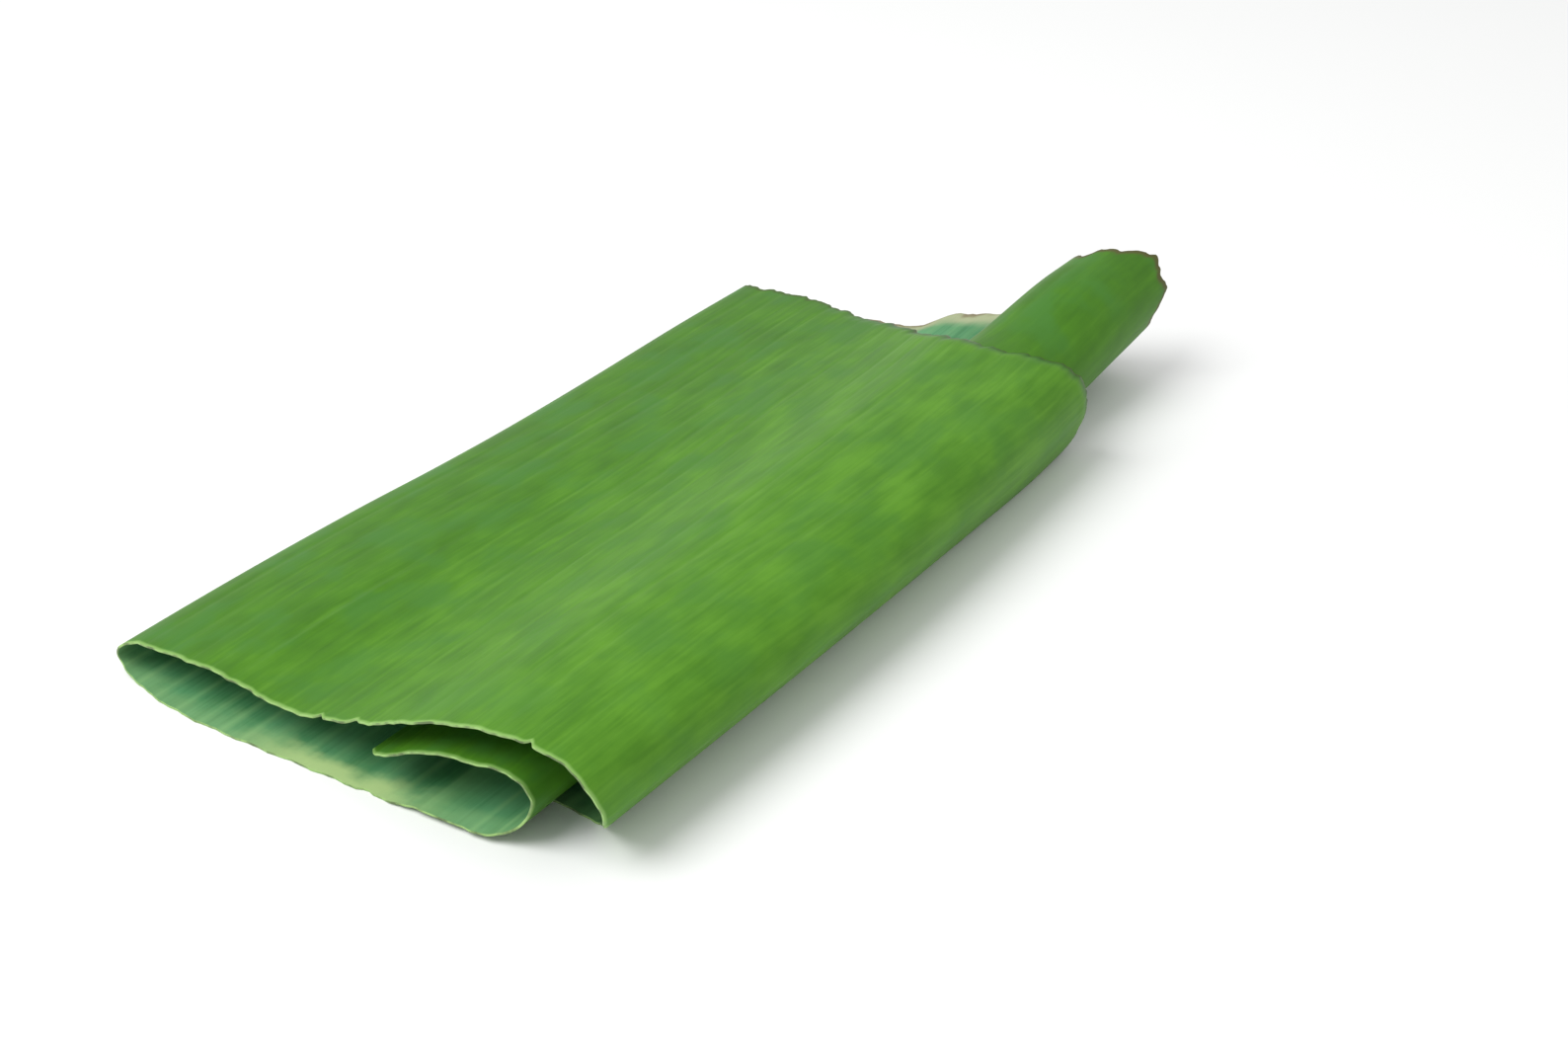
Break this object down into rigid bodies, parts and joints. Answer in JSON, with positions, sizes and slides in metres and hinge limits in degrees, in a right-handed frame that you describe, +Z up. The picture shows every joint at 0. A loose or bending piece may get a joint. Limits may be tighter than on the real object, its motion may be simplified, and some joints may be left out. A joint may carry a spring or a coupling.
{
  "type": "banana leaf",
  "caption": "Piece of fresh banana leaf, cut off its midrib and folded into a flat packet round a loose roll that sticks out at one end.",
  "frame": {"origin": "middle of the packet's footprint, on the surface it lies on", "axes": "+Z up, +Y along the leaf's veins from the cut end towards the roll that sticks out, +X across the packet towards the rounded fold over the roll"},
  "size_m": [0.1612, 0.3144, 0.0428],
  "materials": {
    "leaf": "fresh waxy leaf, satin mid green above and paler blue-green beneath, with fine parallel veins"
  },
  "bodies": {
    "root": {"banana_leaf": "leaf"}
  },
  "joints": []
}
